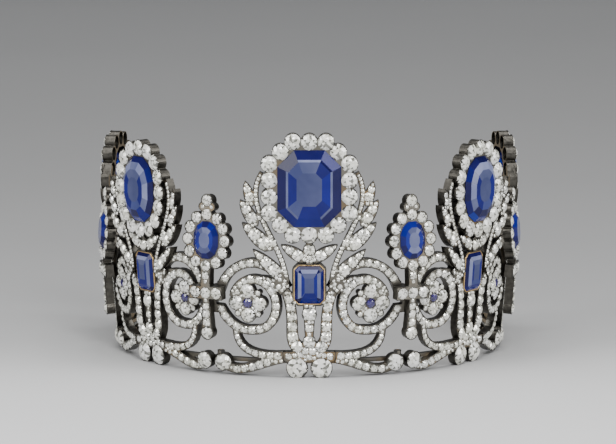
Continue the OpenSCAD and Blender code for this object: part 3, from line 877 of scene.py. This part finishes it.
def wing_lines(place):
    w = wing_w(place)
    half = STRAND_W / 2
    beads = []
    scale = FLOWER_SCALE[place]
    reach = (PETAL_D + EYE_D) * scale / 2 + 2 * SEAT_GAP + RIM
    middle = (FLOWER_U * w, RING_V + FLOWER_RISE)
    for a in range(45, 360, 90):
        at = around(*middle, FLOWER_BEAD_SHARE * reach, math.radians(a))
        beads.append(spot(*at, FLOWER_BEAD_R))
    return beads + [
        (ring_line(w), half, half),
        (arch_line(w), half, half),
        (bezier(scaled(TAIL, w, SCROLL_H), CURVE_PIECES), TAIL_TIP_R, half),
        (bezier(scaled(SWAG, w, SCROLL_H), CURVE_PIECES), half, half),
        (bezier(scaled(JOINER, w, SCROLL_H), 12), *JOINER_R),
    ]


def spire_bar_lines():
    below, above = BAR_V - collet_r(BAR_D), BAR_V + collet_r(BAR_D)
    return [
        ([(0, below), (0, DROP_FOOT_V + DROP_REACH)], *DROP_ROW_R),
        ([(0, above), (0, above + 0.5)], BAR_BEAD_R, BAR_BEAD_R),
    ]


def spire_top_lines(place):
    middle = SPIRE_STONE_V[place]
    b = SPIRE_STONE[1] / 2 + RIM + collet_r(SPIRE_HALO_D)
    bead_v = middle + b + collet_r(SPIRE_HALO_D) + TIP_BEAD[1]
    foot = BAR_V + collet_r(BAR_D) + SPIRE_BEND_RISE
    lines = [spot(k * TIP_BEAD[0], bead_v, TIP_BEAD_R) for k in (1, -1)]
    lines.append(([(0, foot), (0, middle - b - SPIRE_REACH)], SPIRE_NECK_R, SPIRE_NECK_R))
    return lines


# The flat tops of the CAD metal and the stones set in them

# How far in front of a plate other nodes are looked for
OVERHEAD = 6.0
# How far a point may lie from the plate's top and still be on it, in the mesh and by a ray
FLATNESS = 0.02
TOUCH = 0.06
# A rim drops by more than this beside the plate, and a seam between two plates by less
SEAM_DEPTH = 0.5
BESIDE = 0.25
# How far a spire comes over its neighbour's face when a joint swings inwards
SWING = 0.75


def points_round(u, v, r):
    """Eight points on a circle."""
    return [around(u, v, r, math.tau * i / 8) for i in range(8)]


def pair(a, b):
    """An edge's two ends, the lower first."""
    return min(a, b), max(a, b)


class Plate:
    """The flat top of the metal on one face: its outline, and where stones may stand."""

    def __init__(self, node, to_world, top, trees):
        self.to_world = to_world
        self.top = top
        self.trees = trees
        co, tri = WELDED[node]
        self.q = on_face(co, to_world)
        on = np.abs(self.q[:, 2] - top) < FLATNESS
        flat = on[tri].all(axis=1)
        q = self.q
        normals = np.cross(q[tri[:, 1]] - q[tri[:, 0]], q[tri[:, 2]] - q[tri[:, 0]])
        normals /= np.maximum(np.linalg.norm(normals, axis=1), 1e-12)[:, None]
        if to_world.determinant() < 0:
            normals = -normals
        edges = {}
        for i, t in enumerate(tri):
            for a, b in ((t[0], t[1]), (t[1], t[2]), (t[2], t[0])):
                if on[a] and on[b]:
                    edges.setdefault(pair(a, b), []).append(i)
        self.rim = []
        border = []
        for (a, b), near in edges.items():
            tops = [i for i in near if flat[i] and abs(normals[i][2]) > 0.5]
            walls = [i for i in near if i not in tops]
            if len(tops) != 1:
                continue
            border.append((q[a, :2], q[b, :2]))
            if walls and abs(normals[walls[0]][2]) < 0.6:
                middle = (q[a] + q[b])[:2] / 2
                out = middle + BESIDE * normals[walls[0]][:2]
                if self.height_at(*out) < top - SEAM_DEPTH and self.clear_round(*middle, 0.0):
                    self.rim.append((a, b))
        self.border = np.array(border).reshape(-1, 2, 2)

    def ray(self, tree, u, v):
        start = self.to_world @ Vector((u, v, self.top + OVERHEAD))
        end = self.to_world @ Vector((u, v, self.top - 1.5 * SEAM_DEPTH))
        return tree.ray_cast(start, (end - start).normalized(), (end - start).length)[3]

    def height_at(self, u, v):
        """How high the node's own metal stands here, or well below the top where there is none."""
        distance = self.ray(self.trees[0], u, v)
        return self.top - OVERHEAD if distance is None else self.top + OVERHEAD - distance / MM

    def clear_at(self, u, v):
        """Whether no other node stands in front of the plate here."""
        return all(self.ray(tree, u, v) is None for tree in self.trees[1:])

    def clear_round(self, u, v, r):
        """Whether no other node comes in front of this circle when the joints swing."""
        return all(self.clear_at(*p) for p in points_round(u, v, r + SWING))

    def open_at(self, u, v):
        """Whether the plate is bare here, with nothing of any node in front of it."""
        return abs(self.height_at(u, v) - self.top) <= TOUCH and self.clear_at(u, v)

    def loops(self):
        """The rims as chains of points, each with whether it closes."""
        nexts = {}
        for a, b in self.rim:
            nexts.setdefault(a, []).append(b)
            nexts.setdefault(b, []).append(a)
        used = set()
        chains = []
        ends = [k for k, v in nexts.items() if len(v) != 2]
        for start in ends + list(nexts):
            for first in nexts[start]:
                if pair(start, first) in used:
                    continue
                chain = [start, first]
                used.add(pair(start, first))
                while len(nexts[chain[-1]]) == 2:
                    here = chain[-1]
                    onward = [n for n in nexts[here] if pair(here, n) not in used]
                    if not onward:
                        break
                    used.add(pair(here, onward[0]))
                    chain.append(onward[0])
                closed = chain[0] == chain[-1]
                points = self.thinned([self.q[i] for i in (chain[:-1] if closed else chain)])
                if len(points) > 2:
                    chains.append((points, closed))
        return chains

    def thinned(self, points, least=0.14):
        kept = [points[0]]
        for p in points[1:]:
            if np.linalg.norm(p - kept[-1]) > least:
                kept.append(p)
        return kept

    def distances(self, points):
        """How far each point is from the border."""
        best = np.full(len(points), 1e9)
        for a, b in self.border:
            d = b - a
            t = np.clip(((points - a) @ d) / max(d @ d, 1e-12), 0, 1)
            best = np.minimum(best, np.hypot(*(points - a - t[:, None] * d).T))
        return best

    def holds(self, u, v, r, share):
        """Whether the plate is bare under a stone of radius r, with room for the joints' swing."""
        bare = self.open_at(u, v) and all(self.open_at(*p) for p in points_round(u, v, share * r))
        return bare and self.clear_round(u, v, r)


def set_along(plate, line, taken, edge=0.1, gap=0.04, least=0.32):
    """Sets stones one after another along a line, each as large as the metal allows.

    A stone is (u, v, radius, direction of the line).
    """
    points, cap_start, cap_end = line
    pts = np.array(points, dtype=float)
    s = np.r_[0, np.cumsum(np.hypot(*np.diff(pts, axis=0).T))]
    at = np.arange(0, s[-1] + 1e-9, 0.05)
    where = np.c_[np.interp(at, s, pts[:, 0]), np.interp(at, s, pts[:, 1])]
    caps = cap_start + (cap_end - cap_start) * at / s[-1]
    room = np.minimum(plate.distances(where) - edge, caps)
    for a, b, c, _ in taken:
        room = np.minimum(room, np.hypot(where[:, 0] - a, where[:, 1] - b) - c - gap)
    end = -9.0
    i = 0
    while i < len(at):
        r = float(room[i])
        if r < least or at[i] - r < end + gap:
            i += 1
            continue
        # The stone that starts here may grow a little further along.
        ahead = i
        while ahead + 1 < len(at) and room[ahead + 1] >= r:
            if at[ahead + 1] - room[ahead + 1] > at[i] - r + 0.06:
                break
            ahead += 1
            r = float(room[ahead])
        u, v = where[ahead]
        if plate.holds(u, v, r, 0.92):
            d = where[min(ahead + 3, len(at) - 1)] - where[max(ahead - 3, 0)]
            taken.append((float(u), float(v), r, math.atan2(d[1], d[0])))
            end = at[ahead] + r
            i = ahead + 1
        else:
            i += 2


def fill(plate, taken, least=0.3, most=0.85, margin=0.1, step=0.22, limit=4000):
    """Fills what metal is left with the largest stones that fit, largest first."""
    if not len(plate.border):
        return
    ends = plate.border.reshape(-1, 2)
    low, high = ends.min(axis=0), ends.max(axis=0)
    us, vs = np.meshgrid(np.arange(low[0], high[0], step), np.arange(low[1], high[1], step))
    pts = np.c_[us.ravel(), vs.ravel()]
    for a, b, c, _ in taken:
        pts = pts[np.hypot(pts[:, 0] - a, pts[:, 1] - b) > c + least]
    pts = np.array([p for p in pts if plate.open_at(*p)]).reshape(-1, 2)
    if not len(pts):
        return
    room = plate.distances(pts) - margin
    for a, b, c, _ in taken:
        room = np.minimum(room, np.hypot(pts[:, 0] - a, pts[:, 1] - b) - c - 0.03)
    for _ in range(limit):
        i = int(room.argmax())
        r = min(room[i], most)
        if r < least:
            break
        u, v = pts[i]
        if plate.holds(u, v, r, 0.95):
            taken.append((float(u), float(v), float(r), 0.0))
            room = np.minimum(room, np.hypot(pts[:, 0] - u, pts[:, 1] - v) - r - 0.03)
        else:
            room[i] = 0


def tree_of(node):
    co, tri = WELDED[node]
    return BVHTree.FromPolygons(co.tolist(), tri.tolist())


METAL = ("frame_", "spire_left", "spire_right")
WELDED = {n: welded(o) for n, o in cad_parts.items() if n.startswith(METAL)}
rng = random.Random(7)
OLD_CUT = old_cut()
CUSHION_CUT = cushion_cut()
CLAW_BEAD = bead(1.0)
THREAD_R = 0.13
BEZEL_R = 0.2
CLAW_R = 0.17
HALO_CLAW_R = 0.16
SMALL_CLAW_R = 0.14
# What a seat takes of the plate beyond its stone
SEAT_ROOM = 0.2
# How high the stones' girdles stand over the metal
RISE = 0.1
GREAT_RISE = 0.15
# How much wider the visible stones are than the CAD's, over the rims of their seats
LAP = {"collet": 0.4, "eye": 0.25, "halo": 0.5, "spire": 0.25, "great": 0.45, "spire_gem": 0.2}
# Columns: cut corner as a share of the width, or squareness; crown's steps, crown, pavilion
GREAT_CUT = (0.26, GREAT_CROWN, 1.9, 3.0)
STEM_CUT = (0.15, STEM_CROWN, 1.2, 2.0)
SPIRE_CUT = (2.2, SPIRE_CROWN, 1.0, 1.9)
# The same without the first column
GREAT_OVAL = (OVAL_CROWN, 1.8, 2.9)


def set_stone(batch, shape, to_world, u, v, w, d, tilt=3.0, way=None):
    """Sets a stone of width d, turned at random or along a way, and tipped a little."""
    spin = rng.uniform(0, math.tau) if way is None else way + rng.uniform(-0.15, 0.15)
    tip = Matrix.Rotation(math.radians(rng.uniform(-tilt, tilt)), 4, "X")
    tip = tip @ Matrix.Rotation(math.radians(rng.uniform(-tilt, tilt)), 4, "Y")
    turned = tip @ Matrix.Rotation(spin, 4, "Z") @ Matrix.Scale(d, 4)
    batch.add(shape, shifted(to_world, u, v, w) @ turned)


def set_claw(batch, to_world, u, v, w, r):
    batch.add(CLAW_BEAD, shifted(to_world, u, v, w) @ Matrix.Scale(r, 4))


def ring_of_claws(batch, to_world, u, v, w, d, count, r=CLAW_R):
    first = rng.uniform(0, math.tau)
    for i in range(count):
        at = around(u, v, d / 2 + 0.04, first + math.tau * i / count)
        set_claw(batch, to_world, *at, w, r)


def grains(batch, plate, stones, to_world, w):
    """A bright grain in each corner between two neighbouring stones of a row."""
    for (u, v, r, _), (u2, v2, r2, _) in zip(stones, stones[1:]):
        apart = math.hypot(u2 - u, v2 - v)
        if apart > r + r2 + 0.5 or min(r, r2) < 0.5:
            continue
        share = r / (r + r2)
        mid_u, mid_v = u + share * (u2 - u), v + share * (v2 - v)
        across = ((v - v2) / apart, (u2 - u) / apart)
        reach = 0.62 * min(r, r2)
        for k in (reach, -reach):
            at = (mid_u + k * across[0], mid_v + k * across[1])
            if plate.holds(*at, SMALL_CLAW_R, 0.5):
                set_claw(batch, to_world, *at, w, SMALL_CLAW_R)


# The places of the small stones. The left panels mirror the right ones.

LINES = {"stem": stem_lines, "branches": branch_lines, 1: wing_lines, -1: wing_lines}


def laid_out(node, to_world, top, trees, seats, lines, filled):
    """A plate with the stones along its lines and, if filled, in the metal between them."""
    plate = Plate(node, to_world, top, trees)
    taken = [(u, v, d / 2 + SEAT_ROOM, 0.0) for u, v, d in seats]
    first = len(taken)
    for line in lines:
        set_along(plate, line, taken)
    in_rows = len(taken)
    if filled:
        fill(plate, taken)
    return plate, taken[first:in_rows], taken[in_rows:]


layouts = {}
for name in ("centre", "right_inner", "right_outer"):
    side, place = PANELS[name]
    node = "frame_" + name
    trees = [tree_of(node)]
    if name == "centre":
        trees.append(tree_of("spire_left_inner"))
    for other in ("right_inner", "right_outer"):
        if abs(PANELS[other][1] - place) <= 1:
            trees.append(tree_of("spire_" + other))
    faces = panel_faces(name)
    flats = {key: faces[key] for key in ("stem", 1, -1)}
    clear = stones_on("panel_diamonds_" + name, flats)
    eyes = stones_on("flower_sapphires_" + name, flats)
    clear["branches"] = eyes["branches"] = []
    plates = {}
    for key, lines_of in LINES.items():
        seats = clear[key] + eyes[key]
        lines = lines_of(place)
        plates[key] = laid_out(node, faces[key], FRAME_T, trees, seats, lines, True)
    layouts[name] = {
        "clear": clear,
        "eyes": eyes,
        "plates": plates,
        "cluster": Plate(node, faces["cluster"], CLUSTER_T, trees),
        "halo": stones_on("halo_diamonds_" + name, {"cluster": faces["cluster"]})["cluster"],
    }
    if place:
        bar, top = spire_faces(name)
        seats = stones_on("spire_diamonds_" + name, {"bar": bar, "top": top})
        node = "spire_" + name
        own = [tree_of(node)]
        layouts[name]["spire_seats"] = seats
        layouts[name]["spire"] = {
            "bar": laid_out(node, bar, SPIRE_T, own, seats["bar"], spire_bar_lines(), False),
            "top": laid_out(node, top, SPIRE_T, own, seats["top"], spire_top_lines(place), False),
        }
layouts["left_inner"] = layouts["right_inner"]
layouts["left_outer"] = layouts["right_outer"]


# The stones, claws and threads of each panel


def set_plate(laid, to_world, top, small, claws, threads):
    """Adds the small stones, grains and threads of one plate."""
    plate, rows, others = laid
    for u, v, r, way in rows + others:
        set_stone(small, CUSHION_CUT, to_world, u, v, top, 2 * r, 4.0, way)
    grains(claws, plate, rows, to_world, top)
    for points, closed in plate.loops():
        threads.add(tube(points, closed, THREAD_R), to_world)


def bezel(w, h, share, r):
    """A thread round a stone with cut corners."""
    a, b = w / 2 + r / 2, h / 2 + r / 2
    return tube(cut_rectangle(a, b, share * w, 0.0), True, r)


def dress_panel(name):
    """Adds a panel's stones, claws and threads, with those of the spire that rides on it."""
    side, place = PANELS[name]
    body = "panel_" + name
    layout = layouts[name]
    faces = panel_faces(name)
    own = -1 if side < 0 else 1
    flip = Matrix.Diagonal((own, 1, 1, 1))
    small, gold = Batch(SMALL_PAINTED_FACETS), Batch()
    collets, eyes, halo = Batch(CLEAR_PAINTED_FACETS), Batch(VIOLET_PAINTED_FACETS), Batch(CLEAR_PAINTED_FACETS)
    claws, threads = Batch(), Batch()
    for key, laid in layout["plates"].items():
        to_world = faces[key * own] if key in (1, -1) else faces[key] @ flip
        set_plate(laid, to_world, FRAME_T, small, claws, threads)
        for u, v, d in layout["clear"][key]:
            set_stone(collets, OLD_CUT, to_world, u, v, FRAME_T + RISE, d + LAP["collet"])
            ring_of_claws(claws, to_world, u, v, FRAME_T, d + 0.3, 4)
        for u, v, d in layout["eyes"][key]:
            set_stone(eyes, OLD_CUT, to_world, u, v, FRAME_T + RISE, d + LAP["eye"])
    cluster = faces["cluster"] @ flip
    for u, v, d in layout["halo"]:
        set_stone(halo, OLD_CUT, cluster, u, v, CLUSTER_T + RISE, d + LAP["halo"])
        outward = math.atan2(v, u)
        for turn in (-0.7, 0.7):
            at = around(u, v, d / 2 + 0.3, outward + turn)
            set_claw(claws, cluster, *at, CLUSTER_T, HALO_CLAW_R)
    for points, closed in layout["cluster"].loops():
        threads.add(tube(points, closed, THREAD_R), cluster)
    small.build("pave_" + name, SMALL_DIAMOND, body)
    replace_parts(collets.build("collet_stones_" + name, DIAMOND, body), "panel_diamonds_" + name)
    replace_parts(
        eyes.build("flower_eyes_" + name, VIOLET_SAPPHIRE, body), "flower_sapphires_" + name)
    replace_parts(halo.build("halo_stones_" + name, DIAMOND, body), "halo_diamonds_" + name)
    w, h = (size + LAP["great"] for size in STONES[place])
    if place == 0:
        great = step_cut(w, h, *GREAT_CUT)
    else:
        great = oval_cut(w, h, SQUARENESS[place], *GREAT_OVAL)
    gem = Batch(BLUE_PAINTED_FACETS)
    gem.add(great, shifted(cluster, w=CLUSTER_T + GREAT_RISE))
    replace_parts(gem.build("great_sapphire_" + name, SAPPHIRE, body), "sapphire_" + name)
    on = shifted(faces["stem"], v=STEM_STONE_V, w=FRAME_T + RISE)
    gem = Batch(BLUE_PAINTED_FACETS)
    gem.add(step_cut(*STEM_STONE, *STEM_CUT), on)
    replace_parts(gem.build("stem_gem_" + name, SAPPHIRE, body), "stem_sapphire_" + name)
    gold.add(bezel(*STEM_STONE, STEM_CUT[0], BEZEL_R), on)
    gold.build("bezel_" + name, GOLD, body, smooth=True)
    if place:
        dress_spire(name, flip, claws, threads)
    claws.build("claws_" + name, CLAW, body, smooth=True)
    # The threads' near-black colour is painted shade along the rims.
    threads.build("threads_" + name, PAINTED_SHADE_SILVER, body, smooth=True)


def dress_spire(name, flip, claws, threads):
    """Adds a spire's stones. Its claws and threads join the panel's."""
    place = PANELS[name][1]
    body = "panel_" + name
    layout = layouts[name]
    small, large = Batch(SMALL_PAINTED_FACETS), Batch(CLEAR_PAINTED_FACETS)
    bar, top = (to_world @ flip for to_world in spire_faces(name))
    for key, to_world in (("bar", bar), ("top", top)):
        set_plate(layout["spire"][key], to_world, SPIRE_T, small, claws, threads)
        for u, v, d in layout["spire_seats"][key]:
            set_stone(large, OLD_CUT, to_world, u, v, SPIRE_T + RISE, d + LAP["spire"])
            ring_of_claws(claws, to_world, u, v, SPIRE_T, d + 0.2, 3, SMALL_CLAW_R)
    small.build("spire_pave_" + name, SMALL_DIAMOND, body)
    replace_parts(large.build("spire_stones_" + name, DIAMOND, body), "spire_diamonds_" + name)
    gem = Batch(PALE_PAINTED_FACETS)
    w, h = (size + LAP["spire_gem"] for size in SPIRE_STONE)
    on = shifted(top, v=SPIRE_STONE_V[place], w=SPIRE_T + RISE)
    gem.add(oval_cut(w, h, *SPIRE_CUT), on)
    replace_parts(gem.build("spire_gem_" + name, SAPPHIRE, body), "spire_sapphire_" + name)


for name in PANELS:
    dress_panel(name)

for name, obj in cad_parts.items():
    if name.startswith(METAL) or name.startswith("hinge_pins"):
        obj.data.materials.clear()
        obj.data.materials.append(GOLD if name.startswith("hinge_pins") else SILVER)


# Floor, light and camera


# Sizes of the floor and of the scene round the part, in metres
FLOOR_FRONT = -2.0
FLOOR_HALF_W = 3.0
COVE_START = 1.4
COVE_R = 0.6
COVE_PIECES = 12
WALL_TOP = 2.4
# The part of the floor's depth over which its brightness changes, and the brightness at
# shares of that depth: painted light, brightest in front, darkest some way behind the part and
# lighter again further back
FLOOR_SPAN = (-0.2, 1.0)
FLOOR_PAINTED_LIGHT = (
    (0.064, 0.56), (0.107, 0.51), (0.145, 0.41), (0.168, 0.35), (0.22, 0.28),
    (0.31, 0.25), (0.42, 0.245), (0.56, 0.265), (0.74, 0.315), (0.94, 0.37),
)


def floor_and_wall():
    """A pale surface that curves up behind the part, its colour carrying painted light and shade by
    depth.
    """
    profile = [(FLOOR_FRONT, 0.0), (COVE_START, 0.0)]
    for i in range(1, COVE_PIECES + 1):
        a = math.radians(90 * i / COVE_PIECES)
        profile.append((COVE_START + COVE_R * math.sin(a), COVE_R - COVE_R * math.cos(a)))
    profile.append((COVE_START + COVE_R, WALL_TOP))
    mesh = bpy.data.meshes.new("floor")
    verts = [(x, y, z) for y, z in profile for x in (-FLOOR_HALF_W, FLOOR_HALF_W)]
    faces = [(2 * i, 2 * i + 1, 2 * i + 3, 2 * i + 2) for i in range(len(profile) - 1)]
    mesh.from_pydata(verts, [], faces)
    mesh.shade_smooth()
    look = Look("pale_floor")
    depth = look.node("ShaderNodeSeparateXYZ", {"Vector": look.place()["Object"]}).outputs["Y"]
    span = {"Value": depth, "From Min": FLOOR_SPAN[0], "From Max": FLOOR_SPAN[1]}
    share = look.node("ShaderNodeMapRange", span).outputs["Result"]
    colour = look.ramp(share, [(at, grey(value)) for at, value in FLOOR_PAINTED_LIGHT])
    clouds = look.ramp(look.noise(3.0, 2.0), ((0.3, grey(0.96)), (0.7, grey(1.0))))
    colour = look.mixed(1.0, colour, clouds, "MULTIPLY")
    mesh.materials.append(look.shaded({"Base Color": colour, "Roughness": 0.7}))
    obj = new_object("floor", mesh)


# Height that the lights face
LIT_Z = 0.03


def area_light(name, place, size, power):
    """A soft box that faces the part."""
    data = bpy.data.lights.new(name, "AREA")
    data.energy = power
    data.shape = "RECTANGLE"
    data.size, data.size_y = size
    obj = new_object(name, data)
    obj.location = place
    way = Vector((0, 0, LIT_Z)) - Vector(place)
    obj.rotation_euler = way.to_track_quat("-Z", "Y").to_euler()


floor_and_wall()
area_light("top_box", (0.0, -0.1, 0.8), (0.7, 0.6), 8.0)
area_light("left_box", (-0.7, -0.5, 0.45), (0.4, 0.6), 6.0)
area_light("right_box", (0.75, -0.35, 0.4), (0.35, 0.6), 5.0)
area_light("front_strip", (0.25, -1.1, 0.75), (0.4, 0.3), 9.0)
world = bpy.data.worlds.new("studio")
world.use_nodes = True
world.node_tree.nodes["Background"].inputs["Color"].default_value = (0.8, 0.82, 0.85, 1)
world.node_tree.nodes["Background"].inputs["Strength"].default_value = 0.4
bpy.context.scene.world = world

# The camera as fitted to the photograph, 1 m from the point that it faces
PICTURE_W = 616
FOCAL_PX = 3817
SHIFT_PX = -1.3
ELEVATION = 8.62
TARGET_Z = 0.03185
SENSOR_W = 36.0
camera = bpy.data.cameras.new("camera")
camera.sensor_width = SENSOR_W
camera.lens = FOCAL_PX * SENSOR_W / PICTURE_W
camera.shift_x = SHIFT_PX / PICTURE_W
camera.clip_start = 0.01
eye = new_object("camera", camera)
elevation = math.radians(ELEVATION)
target = Vector((0, 0, TARGET_Z))
eye.location = target + Vector((0, -math.cos(elevation), math.sin(elevation)))
eye.rotation_euler = (target - eye.location).to_track_quat("-Z", "Y").to_euler()
bpy.context.scene.camera = eye
